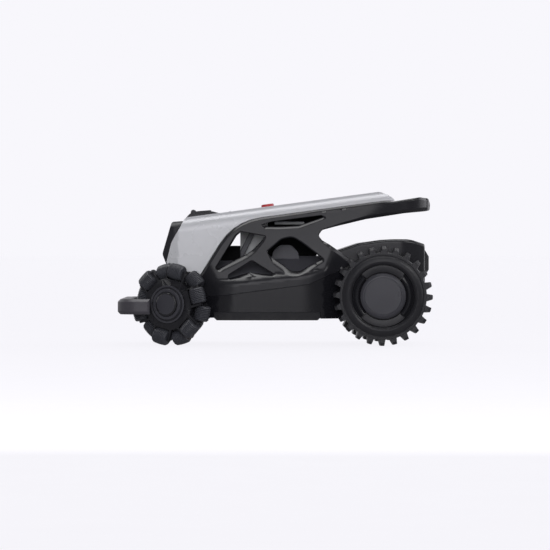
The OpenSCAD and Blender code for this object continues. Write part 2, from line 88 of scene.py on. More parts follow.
def ring(outline, shift=0.0, side=1, step=6.0):
    """Points round an outline, with arcs at its corners, as (x, z, width).

    Each point of the outline is (x, z, radius, width): the edge that leaves it has a chamfer
    of that width. The loop moves by shift times that width, inwards where side is 1.
    It always has the same number of points, so that two shifts make a strip."""
    n = len(outline)
    pts = [Vector(p[:2]) for p in outline]
    radii = [max(p[2] if len(p) > 2 else SHARP_R, SHARP_R) for p in outline]
    widths = [p[3] if len(p) > 3 else SHARP_WIDTH for p in outline]
    area = sum(pts[i].cross(pts[(i + 1) % n]) for i in range(n))
    sign = side * (1 if area > 0 else -1)
    normals = []
    for i in range(n):
        d = (pts[(i + 1) % n] - pts[i]).normalized()
        normals.append(Vector((-d.y, d.x)) * sign)
    moved = []
    for i in range(n):
        na, nb = normals[i - 1], normals[i]
        wa, wb = widths[i - 1] * shift, widths[i] * shift
        det = na.cross(nb)
        if abs(det) < STRAIGHT:
            moved.append(pts[i] + (na + nb).normalized() * (wa + wb) / 2)
        else:
            moved.append(pts[i] + Vector((wa * nb.y - wb * na.y, na.x * wb - nb.x * wa)) / det)
    arcs = []
    for i in range(n):
        a, p, b = pts[i - 1], pts[i], pts[(i + 1) % n]
        u, v, half = corner_frame(a, p, b)
        cut = min(radii[i] / math.tan(half), EDGE_SHARE * (a - p).length,
                  EDGE_SHARE * (b - p).length)
        base_r = cut * math.tan(half)
        turn = math.pi - 2 * half
        count = max(1, round(turn / ARC_STEP))
        inward = 1 if (p - a).cross(b - p) * sign * side > 0 else -1
        mean = (widths[i - 1] + widths[i]) / 2 * shift
        r = max(0.3, base_r - inward * side * mean)
        q = moved[i]
        u, v, half = corner_frame(moved[i - 1], q, moved[(i + 1) % n])
        cut = min(r / math.tan(half), EDGE_SHARE * (moved[i - 1] - q).length,
                  EDGE_SHARE * (moved[(i + 1) % n] - q).length)
        centre = q + (u + v).normalized() * cut / math.cos(half)
        s, e = q + u * cut - centre, q + v * cut - centre
        sweep = math.atan2(s.cross(e), s.dot(e))
        row = []
        for k in range(count + 1):
            t = k / count
            c, w = math.cos(sweep * t), math.sin(sweep * t)
            point = centre + Vector((s.x * c - s.y * w, s.x * w + s.y * c))
            row.append((point.x, point.y, widths[i - 1] * (1 - t) + widths[i] * t))
        arcs.append(row)
    loop = []
    for i in range(n):
        loop += arcs[i]
        length = (pts[(i + 1) % n] - pts[i]).length
        start, end = arcs[i][-1], arcs[(i + 1) % n][0]
        count = max(1, round(length / step))
        for k in range(1, count):
            t = k / count
            loop.append(tuple(start[j] * (1 - t) + end[j] * t for j in range(3)))
    return loop


def inside(points, loops):
    """Which of the points lie within an odd number of the loops."""
    x, z = points[:, 0], points[:, 1]
    odd = np.zeros(len(points), bool)
    for loop in loops:
        for i in range(len(loop)):
            (ax, az), (bx, bz) = loop[i - 1][:2], loop[i][:2]
            if az != bz:
                odd ^= ((az > z) != (bz > z)) & (x < (bx - ax) * (z - az) / (bz - az) + ax)
    return odd


def gap_to(points, loops):
    """Smallest distance from each of the points to the loops' own points."""
    near = np.full(len(points), 1e9)
    for loop in loops:
        for p in loop:
            near = np.minimum(near, (points[:, 0] - p[0]) ** 2 + (points[:, 1] - p[1]) ** 2)
    return np.sqrt(near)


# ---------------------------------------------------------------- meshes


def make(name, bm, material, body, replaces=None, smooth=35):
    """Turns a bmesh into a piece with its material and body, sharp above smooth degrees."""
    bmesh.ops.recalc_face_normals(bm, faces=bm.faces)
    mesh = bpy.data.meshes.new(name)
    bm.to_mesh(mesh)
    bm.free()
    for polygon in mesh.polygons:
        polygon.use_smooth = True
    mesh.set_sharp_from_angle(angle=math.radians(smooth))
    exact = SURFACE in mesh.attributes
    if exact:
        follow_surface(mesh)
    mesh.materials.append(material)
    piece = bpy.data.objects.new(name, mesh)
    bpy.context.scene.collection.objects.link(piece)
    if not exact:
        piece.modifiers.new("normals", "WEIGHTED_NORMAL").keep_sharp = True
    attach(piece, body)
    if replaces:
        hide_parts(replaces)
    return piece


def follow_surface(mesh):
    """Shades the faces that lie on a sheet's own surface by that surface's exact normals."""
    known = [Vector(item.vector) for item in mesh.attributes[SURFACE].data]
    normals = [(0.0, 0.0, 0.0)] * len(mesh.loops)
    for polygon in mesh.polygons:
        exact = [known[mesh.loops[i].vertex_index] for i in polygon.loop_indices]
        if all(n.length > 0.5 and abs(n.dot(polygon.normal)) > 0.8 for n in exact):
            for i, n in zip(polygon.loop_indices, exact):
                normals[i] = n if n.dot(polygon.normal) > 0 else -n
    mesh.normals_split_custom_set(normals)


def surface_normal(place, x, z):
    """Outward normal of a sheet at x and z."""
    across = place(x + 0.4, z, 0.0) - place(x - 0.4, z, 0.0)
    up = place(x, z + 0.4, 0.0) - place(x, z - 0.4, 0.0)
    normal = across.cross(up).normalized()
    return normal if normal.dot(place(x, z, 0.0) - place(x, z, 1.0)) > 0 else -normal


def strip(bm, a, b, close=True):
    """Quads between two rows of vertices of the same length."""
    n = len(a)
    for i in range(n if close else n - 1):
        j = (i + 1) % n
        face = [a[i], a[j], b[j], b[i]]
        if len(set(face)) > 2:
            bm.faces.new(list(dict.fromkeys(face)))


BEVEL = [(1.06, 0.0), (0.93, 0.05), (0.07, 0.93), (0.0, 1.1)]  # shares of a chamfer: in, down
BACK_CHAMFER = 0.8


def panel(bm, outer, holes, place, thick, step=6.0):
    """A sheet with holes and chamfered edges. place(x, z, depth) gives a point on its surface."""
    loops = [(outer, 1)] + [(h, -1) for h in holes]
    layer = bm.verts.layers.float_vector.new(SURFACE)
    fronts, backs = [], []
    for outline, side in loops:
        rows = []
        for shift, drop in BEVEL:
            row = ring(outline, shift, side, step)
            rows.append([bm.verts.new(place(x, z, chamfer_depth(w) * drop)) for x, z, w in row])
            if shift > 1:
                fronts.append((row, rows[0]))
                for (x, z, w), vert in zip(row, rows[0]):
                    vert[layer] = surface_normal(place, x, z)
        base = ring(outline, 0.0, side, step)
        rows.append([bm.verts.new(place(x, z, thick - BACK_CHAMFER)) for x, z, w in base])
        narrow = [(p[0], p[1], p[2] if len(p) > 2 else SHARP_R, BACK_CHAMFER) for p in outline]
        back = ring(narrow, 1.0, side, step)
        rows.append([bm.verts.new(place(x, z, thick)) for x, z, w in back])
        backs.append((back, rows[-1]))
        for a, b in zip(rows, rows[1:]):
            strip(bm, a, b)
    for vert, x, z in fill(bm, fronts, lambda x, z: place(x, z, 0.0), step):
        vert[layer] = surface_normal(place, x, z)
    fill(bm, backs, lambda x, z: place(x, z, thick), step)


def chamfer_depth(width):
    """How deep a chamfer of that width cuts, in millimetres."""
    return width if width < 2.5 else 0.5 + 0.6 * width


def fill(bm, caps, place, step):
    """Triangles between loops, with extra points so that they follow a curved surface.

    Returns the extra points' vertices with their places."""
    loops = [row for row, verts in caps]
    points, verts, edges = [], [], []
    for row, row_verts in caps:
        start = len(points)
        points += [Vector(p[:2]) for p in row]
        verts += row_verts
        edges += [(start + i, start + (i + 1) % len(row)) for i in range(len(row))]
    xs, zs = [p.x for p in points], [p.y for p in points]
    grid = np.array([(x, z) for x in np.arange(min(xs) + step / 2, max(xs), step)
                     for z in np.arange(min(zs) + step / 2, max(zs), step)])
    grid = grid[inside(grid, loops)]
    points += [Vector(p) for p in grid[gap_to(grid, loops) > 0.6 * step]]
    co, _, faces, original, _, _ = geometry.delaunay_2d_cdt(points, edges, [], 0, 1e-5)
    made, added = {}, []
    for i, sources in enumerate(original):
        known = [s for s in sources if s < len(verts)]
        made[i] = verts[known[0]] if known else None
    centres = np.array([sum((co[i] for i in face), Vector((0, 0))) / len(face)
                        for face in faces])
    for face, kept in zip(faces, inside(centres, loops)):
        if kept:
            for i in face:
                if made[i] is None:
                    made[i] = bm.verts.new(place(co[i].x, co[i].y))
                    added.append((made[i], co[i].x, co[i].y))
            if len({made[i] for i in face}) == 3:
                bm.faces.new([made[i] for i in face])
    return added


def lathe(bm, profile, at, segments=96, step=3.0, closed=True):
    """Turns a profile of (radius, along, corner radius) about an axis.

    at(r, turn, w) places a point. The profile gets rounded corners and closes on itself,
    unless closed is false."""
    row = [(r, w) for r, w, _ in ring(profile, 0.0, 1, step)] if closed else profile
    columns, centre = [], {}
    for k in range(segments):
        turn = 2 * math.pi * k / segments
        column = []
        for i, (r, w) in enumerate(row):
            if r < 0.02:
                centre.setdefault(i, bm.verts.new(at(0.0, 0.0, w)))
                column.append(centre[i])
            else:
                column.append(bm.verts.new(at(r, turn, w)))
        columns.append(column)
    for k in range(segments):
        strip(bm, columns[k], columns[(k + 1) % segments], close=closed)


def axis_frame(joint, side):
    """at(r, turn, w) round a wheel's joint, in millimetres: turn from forward to down, w out."""
    j = JOINTS[joint]
    origin = Vector(j["pos_m"])
    out = Vector(j["axis"]).normalized() * side
    forward = Vector((0, 0, 1)).cross(out).normalized() * -side
    down = Vector((0, 0, -1))

    def at(r, turn, w):
        return origin + (forward * math.cos(turn) + down * math.sin(turn)) * r * MM + out * w * MM
    return at


def moulded(node, material, width, angle=28, cut=None):
    """A CAD node's own shape with its sharp edges rounded, as a moulding has them.

    width is the rounding in millimetres, and angle the least turn of a sharp edge in degrees.
    cut is the x at which its faces are split, so that the faces on one side can be given painted
    shade."""
    bm = bmesh.new()
    bm.from_mesh(frame["nodes"][node].data)
    bmesh.ops.remove_doubles(bm, verts=bm.verts, dist=3e-6)
    bmesh.ops.dissolve_limit(bm, angle_limit=math.radians(0.6), verts=bm.verts, edges=bm.edges)
    if cut is not None:
        bmesh.ops.bisect_plane(bm, geom=bm.verts[:] + bm.edges[:] + bm.faces[:],
                               plane_co=(cut, 0, 0), plane_no=(1, 0, 0))
    limit = math.radians(angle)
    sharp = [e for e in bm.edges if e.is_manifold and e.calc_face_angle(0) > limit]
    bmesh.ops.bevel(bm, geom=sharp, offset=width * MM, segments=2, profile=0.6,
                    affect="EDGES", clamp_overlap=True, offset_type="OFFSET")
    body = frame["nodes"][node]["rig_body"]
    return make(node + "_moulded", bm, material, body, node)


# ---------------------------------------------------------------- materials


def new_material(name):
    """A node material with its shader, and a helper that adds linked nodes."""
    material = bpy.data.materials.new(name)
    material.use_nodes = True
    tree = material.node_tree
    shader = tree.nodes["Principled BSDF"]

    def node(kind, inputs=None, **settings):
        made = tree.nodes.new(kind)
        for key, value in settings.items():
            setattr(made, key, value)
        for key, value in (inputs or {}).items():
            if isinstance(value, bpy.types.NodeSocket):
                tree.links.new(value, made.inputs[key])
            else:
                made.inputs[key].default_value = value
        return made
    return material, tree, shader, node


def srgb(r, g, b):
    """Linear colour of an 8-bit display colour."""
    return tuple((c / 255 / 12.92) if c < 10 else ((c / 255 + 0.055) / 1.055) ** 2.4
                 for c in (r, g, b)) + (1.0,)


DUST = srgb(120, 118, 112)
COAT_ROUGH = 0.18
GLOSS_SPREAD = 0.05


def finish_material(name, colour, rough, grain=900, bump=0.06, mottle=0.06, metal=0.0,
                    coat=0.0, wear=0.0, dust=0.0, specular=0.5, brushed=None, fleck=0.22):
    """Moulded, painted, rubber or metal finish: mottled colour, uneven gloss, fine grain,
    edges rubbed lighter and dust in the low frequencies."""
    material, tree, shader, node = new_material(name)

    def blend(share, under, over):
        made = node("ShaderNodeMix", {0: share, "A": under, "B": over}, data_type="RGBA")
        return made.outputs["Result"]

    shader.inputs["Metallic"].default_value = metal
    shader.inputs["Specular IOR Level"].default_value = specular
    shader.inputs["Coat Weight"].default_value = coat
    shader.inputs["Coat Roughness"].default_value = COAT_ROUGH
    where = node("ShaderNodeTexCoord").outputs["Object"]
    if brushed:
        where = node("ShaderNodeMapping", {"Vector": where, "Scale": brushed}).outputs["Vector"]
    broad = node("ShaderNodeTexNoise", {"Vector": where, "Scale": 9.0, "Detail": 4.0,
                                        "Roughness": 0.6})
    fine = node("ShaderNodeTexNoise", {"Vector": where, "Scale": float(grain), "Detail": 3.0,
                                       "Roughness": 0.65})
    base = srgb(*colour)
    dark = tuple(c * (1 - mottle) for c in base[:3]) + (1.0,)
    light = tuple(min(1.0, c * (1 + mottle)) for c in base[:3]) + (1.0,)
    mixed = blend(broad.outputs["Fac"], dark, light)
    speck = node("ShaderNodeMapRange", {"Value": fine.outputs["Fac"], "From Min": 0.35,
                                        "From Max": 0.75, "To Min": 0.0, "To Max": fleck})
    pale = tuple(min(1, c * 1.35) for c in base[:3]) + (1.0,)
    mixed = blend(speck.outputs["Result"], mixed, pale)
    if wear:
        point = node("ShaderNodeNewGeometry").outputs["Pointiness"]
        edge = node("ShaderNodeMapRange", {"Value": point, "From Min": 0.52, "From Max": 0.62,
                                           "To Min": 0.0, "To Max": wear})
        rubbed = tuple(min(1, c * 2.2 + 0.02) for c in base[:3]) + (1.0,)
        mixed = blend(edge.outputs["Result"], mixed, rubbed)
    if dust:
        drift = node("ShaderNodeTexNoise", {"Vector": where, "Scale": 38.0, "Detail": 6.0,
                                            "Roughness": 0.7})
        film = node("ShaderNodeMapRange", {"Value": drift.outputs["Fac"], "From Min": 0.45,
                                           "From Max": 0.8, "To Min": 0.0, "To Max": dust})
        mixed = blend(film.outputs["Result"], mixed, DUST)
    tree.links.new(mixed, shader.inputs["Base Color"])
    gloss = node("ShaderNodeMapRange", {"Value": broad.outputs["Fac"], "From Min": 0.3,
                                        "From Max": 0.7, "To Min": rough - GLOSS_SPREAD,
                                        "To Max": rough + GLOSS_SPREAD})
    tree.links.new(gloss.outputs["Result"], shader.inputs["Roughness"])
    relief = node("ShaderNodeBump", {"Height": fine.outputs["Fac"], "Strength": bump,
                                     "Distance": 0.0002})
    tree.links.new(relief.outputs["Normal"], shader.inputs["Normal"])
    return material


def make_materials():
    """Every finish, by its slot's name."""
    f = finish_material
    return {
        "silver_shell": f("silver_shell", (210, 211, 215), 0.3, 2600, 0.01, 0.006, metal=0.12,
                          specular=0.35, fleck=0.03),
        "charcoal_plastic": f("charcoal_plastic", (33, 33, 37), 0.23, 1500, 0.06, 0.05,
                              wear=0.12),
        "chassis_plastic": f("chassis_plastic", (24, 24, 28), 0.19, 1500, 0.05, 0.05, wear=0.1),
        "deck_plastic": f("deck_plastic", (76, 76, 82), 0.38, 1200, 0.10, 0.06),
        "light_plastic": f("light_plastic", (168, 169, 172), 0.42, 1300, 0.08, 0.05),
        "black_plastic": f("black_plastic", (38, 38, 42), 0.32, 1600, 0.07, 0.06, wear=0.15),
        "dark_window": f("dark_window", (10, 11, 13), 0.08, 400, 0.004, 0.1, coat=0.8),
        "tyre_rubber": f("tyre_rubber", (34, 34, 38), 0.36, 1100, 0.16, 0.08, wear=0.15,
                         dust=0.04),
        "roller_rubber": f("roller_rubber", (58, 59, 65), 0.34, 1300, 0.12, 0.08, wear=0.15,
                           dust=0.03),
        "rim_plastic": f("rim_plastic", (30, 30, 34), 0.26, 1500, 0.07, 0.05, wear=0.1),
        "cap_plastic": f("cap_plastic", (60, 60, 66), 0.3, 1700, 0.06, 0.03, wear=0.2),
        "red_plastic": f("red_plastic", (186, 52, 58), 0.38, 1200, 0.05, 0.05, coat=0.2),
        "bumper_rubber": f("bumper_rubber", (70, 68, 74), 0.36, 1200, 0.10, 0.05, wear=0.1),
        "steel": f("steel", (176, 178, 182), 0.28, 700, 0.05, 0.06, metal=1.0,
                   brushed=(1.0, 1.0, 9.0)),
        "motor_metal": f("motor_metal", (132, 136, 142), 0.36, 600, 0.06, 0.06, metal=0.9,
                         brushed=(1.0, 1.0, 12.0)),
        "blade_steel": f("blade_steel", (200, 202, 205), 0.22, 500, 0.06, 0.05, metal=1.0,
                         brushed=(14.0, 1.0, 1.0), wear=0.3),
        "disc_plastic": f("disc_plastic", (206, 104, 34), 0.45, 1200, 0.08, 0.05, wear=0.1),
        "battery_case": f("battery_case", (40, 66, 118), 0.5, 1200, 0.08, 0.06),
        "circuit_board": board_material(),
        "button_grey": f("button_grey", (150, 152, 155), 0.45, 1400, 0.06, 0.04),
        "copper": f("copper", (196, 140, 88), 0.25, 700, 0.05, 0.06, metal=1.0),
        # Painted shade: a dull black with little sheen, put on faces deep behind the frame windows
        # where only shade falls.
        "painted_shade_black": f("painted_shade_black", (13, 13, 14), 0.8, 1200, 0.1, 0.06, specular=0.12),
        "skid_plastic": f("skid_plastic", (28, 28, 32), 0.55, 1200, 0.12, 0.07, wear=0.25,
                          dust=0.08),
        "status_light": f("status_light", (110, 190, 150), 0.3, 900, 0.02, 0.03, coat=0.5),
    }


def board_material():
    """Solder mask over copper tracks."""
    material, tree, shader, node = new_material("circuit_board")
    where = node("ShaderNodeTexCoord").outputs["Object"]
    tracks = node("ShaderNodeTexBrick", {"Vector": where, "Scale": 90.0, "Mortar Size": 0.03,
                                         "Color1": srgb(18, 70, 44), "Color2": srgb(22, 80, 50),
                                         "Mortar": srgb(60, 120, 80)})
    tree.links.new(tracks.outputs["Color"], shader.inputs["Base Color"])
    grain = node("ShaderNodeTexNoise", {"Vector": where, "Scale": 700.0})
    gloss = node("ShaderNodeMapRange", {"Value": grain.outputs["Fac"], "To Min": 0.25,
                                        "To Max": 0.45})
    tree.links.new(gloss.outputs["Result"], shader.inputs["Roughness"])
    relief = node("ShaderNodeBump", {"Height": tracks.outputs["Fac"], "Strength": 0.3,
                                     "Distance": 0.0003})
    tree.links.new(relief.outputs["Normal"], shader.inputs["Normal"])
    return material


# ---------------------------------------------------------------- body outlines

# Corners of the outlines: x, z, corner radius, chamfer of the edge that leaves the corner
SEAM = [(-289, 349.2, 0.4, 5.0), (-262, 349.0, 20, 5.0), (98.5, 300.0, 139, 5.5),
        (180, 169.8, 0.4, 1.5)]
PARTING = [(183, 117), (157, 118.8), (109, 122.4), (37, 132), (-59, 144), (-80.6, 147.6),
           (-107, 158.4), (-131, 170.4)]
TAIL = [(-155, 179, 0.4, 3), (-193, 201.6, 0.4, 9), (-131, 244.8, 60, 5), (-114, 254.4, 10, 2.4),
        (-105, 266, 8, 2.2), (-114, 279, 10, 2.4), (-155, 289.9, 60, 8), (-227, 307.2, 80, 8),
        (-323, 322, 60, 8), (-376.5, 327.2, 2, 3), (-378.6, 342, 10, 4), (-374.6, 356, 5, 6),
        (-352, 359.2, 20, 5)]
FRAME = SEAM + [(x, z, 6, 1.2) for x, z in PARTING] + TAIL
WINDOW_FRONT = [(83.8, 276, 2, 1.5), (24, 265.2, 3, 4), (31, 255, 4, 9), (54, 231.6, 10, 10),
                (71, 219.6, 14, 11), (140.2, 184.8, 2.5, 3), (143.8, 188.4, 2, 1.5),
                (96, 266, 10, 1.5)]
WINDOW_MID = [(15.4, 219.6, 2, 2), (19.5, 226.8, 3, 3), (-15.8, 257, 22, 3),
              (-42, 263, 26, 3), (-66, 248, 40, 3), (-102.2, 220.8, 10, 2),
              (-116, 210, 2.5, 8), (-97.4, 199.2, 20, 10), (-58, 179, 14, 12),
              (-38, 180.5, 14, 12)]
WINDOW_LOW = [(56.2, 206, 8, 1.5), (1, 171.8, 2, 3), (6, 171, 2, 7), (64, 176.5, 10, 11),
              (139, 154.5, 1.5, 1.5)]
WINDOW_SLOT = [(33.4, 291.6, 1, 1.5), (8, 299.3, 30, 1.5), (-112, 314.6, 1.5, 1.5),
               (-118, 312, 1.5, 7), (-60, 290.6, 20, 8), (-11, 287.8, 20, 8), (30, 289, 1, 2)]

FRAME_T = 14.0
TAIL_ARC = (-311, 82, 68)
SHELL_Z, SHELL_TILT = 339.0, math.radians(7.6)
PLAN = [(-190, 174), (-167, 179), (-152, 185), (-138, 192), (-129, 201), (-116, 206),
        (-95, 211), (-59, 215), (97, 215), (130, 210), (150, 201), (174, 186), (200, 172),
        (262, 151), (292, 141)]
LEAN_TILT = math.radians(6.1)
LEDGE_Z = 160.4
FLANK = [(-40, 217), (-5, 217), (-2, 216), (12, 203), (15, 201.3), (149.6, 162), (240, 157)]


def plan_half(x):
    """Half width of the upper body at x."""
    cx, cy, r = TAIL_ARC
    if x < cx:
        return cy + math.sqrt(max(0.0, r * r - (x - cx) ** 2))
    points = [(cx, cy + r)] + PLAN
    return float(np.interp(x, [p[0] for p in points], [p[1] for p in points]))


PLAN_X = np.arange(-386.0, 300.0, 2.0)
PLAN_SMOOTH = np.convolve(np.pad([plan_half(x) for x in PLAN_X], 5, "edge"),
                          np.ones(11) / 11, "valid")


def flank_half(x, z):
    """Half width of the leaning flank at x and z."""
    up = x * math.sin(LEAN_TILT) + (z - LEDGE_Z) * math.cos(LEAN_TILT)
    return float(np.interp(up, [p[0] for p in FLANK], [p[1] for p in FLANK]))


def frame_half(x, z):
    """Half width over the side frames, the plan and the flank blended where they meet."""
    a, b = float(np.interp(x, PLAN_X, PLAN_SMOOTH)), flank_half(x, z)
    soft = 3.0
    return -soft * math.log(math.exp(-a / soft) + math.exp(-b / soft)) + 0.3


def side_frames(mats):
    """Trussed side frames with wide chamfers on the edges that face up."""
    for side, sign in SIDES.items():
        bm = bmesh.new()

        def place(x, z, depth):
            return Vector((x, sign * (frame_half(x, z) - depth), z)) * MM
        panel(bm, FRAME, [WINDOW_FRONT, WINDOW_MID, WINDOW_LOW, WINDOW_SLOT], place, FRAME_T)
        make(side + "_truss", bm, mats["charcoal_plastic"], "root", side + "_side_frame",
             smooth=50)


# ---------------------------------------------------------------- wheels


def rear_wheels(mats):
    """Driven wheels: a tyre with lugs across its tread, on a dished rim."""
    lugs = 24
    low, high = (round(c.z * 1000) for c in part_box("rear_left_tyre"))
    top_r = (high - low) / 2
    root_r = top_r - 15
    inner, outer = (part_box("rear_left_tyre")[i].y * 1000 for i in (0, 1))
    centre = JOINTS["rear_left_wheel_spin"]["pos_m"][1] * 1000
    w0, w1 = inner - centre, outer - centre
    mid = (w0 + w1) / 2
    for side, sign in SIDES.items():
        at = axis_frame(f"rear_{side}_wheel_spin", sign)
        body = f"rear_{side}_wheel"
        bm = bmesh.new()
        wall = [(77, 5, 1), (79, 2.2, 2), (83.5, 0.2, 3), (91, 2.0, 10), (97.4, 6.6, 2),
                (98.6, 5.0, 0.5), (104, 5.0, 1), (root_r, 8, 3)]
        lathe(bm, [(r, w0 + drop, bend) for r, drop, bend in wall]
              + [(root_r + 0.6, mid, 4)]
              + [(r, w1 - drop, bend) for r, drop, bend in reversed(wall)], at, 144, 2.0)
        for i in range(lugs):
            tread_lug(bm, at, 2 * math.pi * i / lugs, root_r, top_r, w0 + 5.6, w1 - 5.6)
        make(f"rear_{side}_tread_tyre", bm, mats["tyre_rubber"], body, f"rear_{side}_tyre",
             smooth=32)
        rear_rim(mats, side, at, body, w0, w1)


def tread_lug(bm, at, turn, root_r, top_r, w0, w1):
    """One lug across the tread: its middle leads, and its ends slope down to the shoulders."""
    mid = (w0 + w1) / 2
    stations = [(w0, 0.0, 7.0), (w0 + 5, 0.0, 0.6), (w0 + 18, -0.6, 0.0), (mid, -1.6, 0.4),
                (w1 - 18, -0.6, 0.0), (w1 - 5, 0.0, 0.6), (w1, 0.0, 7.0)]
    shape = [(root_r - 2.5, -6.2), (root_r + 2, -5.2), (root_r + 8, -3.9), (top_r - 1, -2.7),
             (top_r, -2.2), (top_r, 0.9), (top_r - 1, 1.4), (root_r + 4, 2.4),
             (root_r - 2.5, 3.4)]
    rows = []
    for w, lead, drop in stations:
        row = []
        for r, angle in shape:
            level = min(r, top_r - drop) if r > root_r else r
            row.append(bm.verts.new(at(level, turn + math.radians(angle + lead), w)))
        rows.append(row)
    for a, b in zip(rows, rows[1:]):
        strip(bm, a, b)
    bm.faces.new(rows[0])
    bm.faces.new(rows[-1])


def rear_rim(mats, side, at, body, w0, w1):
    """Dished rim whose four quarters are parted by slits: two stand flat, two are ridged."""
    face = w1 - 6
    bm = bmesh.new()
    flat = [(77, w1 - 5.2), (75.8, w1 - 5.6), (75.2, face - 4.5), (74.4, face - 1.6),
            (73, face - 0.8), (59, face - 1.4), (57.6, face - 2.2), (56.8, face - 6),
            (56.2, face - 9), (54, face - 9), (50, face - 9)]
    ridge = [(77, w1 - 5.2), (75.8, w1 - 5.8), (74.6, face - 5), (72.6, face - 7.4),
             (70.2, face - 6), (67, face - 2.6), (63, face - 0.8), (59.6, face - 2.4),
             (57.2, face - 5.6), (55.4, face - 7.6), (50, face - 8)]
    back = [(30, face - 12), (30, w0 + 8), (68, w0 + 8), (71, w0 + 4.5), (77, w0 + 4.5)]
    slit, steps = math.radians(1.3), 26
    columns = []
    for quarter in range(4):
        start = math.radians(-45 + 90 * quarter)
        profile = flat if quarter % 2 else ridge
        span = math.pi / 2 - 2 * slit
        for k in range(steps + 1):
            turn = start + slit + span * k / steps
            columns.append((turn, profile))
        sunk = [(r, min(w, face - 9) if r < 72 else w) for r, w in profile]
        columns.append((start + math.pi / 2 - slit + 0.004, sunk))
        columns.append((start + math.pi / 2 + slit - 0.004, sunk))
    rows = [[bm.verts.new(at(r, turn, w)) for r, w in profile + back] for turn, profile in columns]
    for i in range(len(rows)):
        strip(bm, rows[i], rows[(i + 1) % len(rows)])
    make(f"rear_{side}_dished_rim", bm, mats["rim_plastic"], body, f"rear_{side}_rim",
         smooth=38)
    bm = bmesh.new()
    lathe(bm, [(0, face - 7.9), (54, face - 7.9, 0.5), (55.2, face - 3, 1),
               (54.6, face + 0.8, 2.5), (48.6, face + 5.0, 3), (45.4, face + 5.4, 0.4),
               (44.7, face + 4.5, 0.2), (44.0, face + 5.5, 0.4), (0, face + 6)], at, 144, 2.0)
    make(f"rear_{side}_hub_cover", bm, mats["cap_plastic"], body, f"rear_{side}_cap",
         smooth=40)


def front_wheels(mats):
    """Hubs with two rows of ribbed rollers, each roller on its own body."""
    rollers, crown_r, roller_r, length, row_w = 12, 100.0, 19.5, 37.0, 12.0
    centre_r = crown_r - roller_r
    for side, sign in SIDES.items():
        at = axis_frame(f"front_{side}_wheel_spin", sign)
        moulded(f"front_{side}_hub", mats["rim_plastic"], 0.7, 30)
        hub_rings(mats, side, at)
        for i in range(1, rollers + 1):
            turn = math.radians(15 + 30 * (i - 1))
            w = row_w if i % 2 else -row_w
            bm = bmesh.new()

            def roller_at(r, spin, along):
                radial = centre_r + r * math.cos(spin)
                tangential = along
                reach = math.hypot(radial, tangential)
                swing = turn + math.atan2(tangential, radial)
                return at(reach, swing, w + r * math.sin(spin))
            lathe(bm, roller_profile(length, crown_r, centre_r), roller_at, 44, closed=False)
            name = f"front_{side}_roller_{i}"
            make(f"{name}_ribbed", bm, mats["roller_rubber"], frame["nodes"][name]["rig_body"],
                 name, smooth=60)


def roller_profile(length, crown_r, centre_r):
    """Barrel with turned grooves, round ends and a bore for its pin."""
    half, end, pin, grooves = length / 2, 2.0, 3.1, 8
    points = [(pin, -half), (14.2, -half), (16.4, -half + 0.6)]
    pitch = (length - 2 * end) / grooves
    for i in range(grooves):
        y0 = -half + end + pitch * i
        for share, drop in ((0.0, 1.6), (0.16, 1.0), (0.3, 0.1), (0.45, 0.0), (0.55, 0.0),
                            (0.7, 0.1), (0.84, 1.0)):
            y = y0 + pitch * share
            points.append((math.sqrt(crown_r ** 2 - y * y) - centre_r - drop, y))
    y = half - end
    points += [(math.sqrt(crown_r ** 2 - y * y) - centre_r - 1.6, y), (16.4, half - 0.6),
               (14.2, half), (pin, half)]
    return points + [points[0]]


def hub_rings(mats, side, at):
    """Stepped rings and a round cap on the outer face of a front hub."""
    bm = bmesh.new()
    lathe(bm, [(0, 16), (45.8, 16, 0.3), (46, 22.4, 1.2), (41.5, 23.2, 0.8), (40.6, 21.0, 0.5),
               (38.4, 21.0, 0.5), (36.8, 26.4, 1.6), (30.4, 27.2, 1.2), (29.6, 23.0, 0.6),
               (28.2, 23.0, 0.6), (26.6, 29.0, 1.6), (24, 30.2, 2), (0, 30.5)], at, 96)
    make(f"front_{side}_hub_rings", bm, mats["cap_plastic"], f"front_{side}_wheel", None,
         smooth=40)


# ---------------------------------------------------------------- the rest of the machine


# Where the painted shade goes: the x that splits the centre tower, and the front, top and half
# width of the deck cover's block.
TOWER_SPLIT = 0.018
DECK_FRONT, DECK_TOP, DECK_HALF = 0.0845, 0.19, 0.1045


def carried_parts(mats):
    """CAD shapes that stay as they are, with moulded edges and their own finish; faces where only
    shade falls are given a dull black of painted shade.
    """
    parts = {
        "rear_handle": ("charcoal_plastic", 1.5),
        "deck_cover": ("deck_plastic", 2.0), "lower_chassis": ("chassis_plastic", 1.5),
        "skid_plate": ("skid_plastic", 1.0), "nose_housing": ("black_plastic", 1.0),
        "camera_window": ("dark_window", 0.6), "camera_modules": ("black_plastic", 0.5),
        "centre_tower": ("light_plastic", 1.2), "battery_pack": ("battery_case", 2.0),
        "control_board": ("circuit_board", 0.2), "panel_base": ("black_plastic", 0.7),
        "panel_lid": ("black_plastic", 0.8), "stop_button": ("red_plastic", 0.5),
        "power_button": ("button_grey", 0.5),
        "charging_pad": ("black_plastic", 1.5), "front_axles": ("motor_metal", 0.8),
        "drive_motors": ("motor_metal", 1.0), "screws": ("steel", 0.25),
        "bumper": ("bumper_rubber", 0.8), "cutter_motor": ("motor_metal", 1.0),
        "blade_disc": ("disc_plastic", 0.6), "blade_1": ("blade_steel", 0.2),
        "blade_2": ("blade_steel", 0.2), "blade_3": ("blade_steel", 0.2)}
    # Painted shade: the deck cover's front block and the centre tower behind x = TOWER_SPLIT sit
    # in shade behind the frame windows, so their faces are given the dull black.
    painted_shade_rules = {"deck_cover": lambda c: c.x > DECK_FRONT and c.z > DECK_TOP and abs(c.y) < DECK_HALF,
             "centre_tower": lambda c: c.x < TOWER_SPLIT}
    for node, (slot, width) in parts.items():
        rule = painted_shade_rules.get(node)
        piece = moulded(node, mats[slot], width,
                        cut=TOWER_SPLIT if rule else None)
        if rule:
            piece.data.materials.append(mats["painted_shade_black"])
            for polygon in piece.data.polygons:
                if rule(polygon.center):
                    polygon.material_index = 1


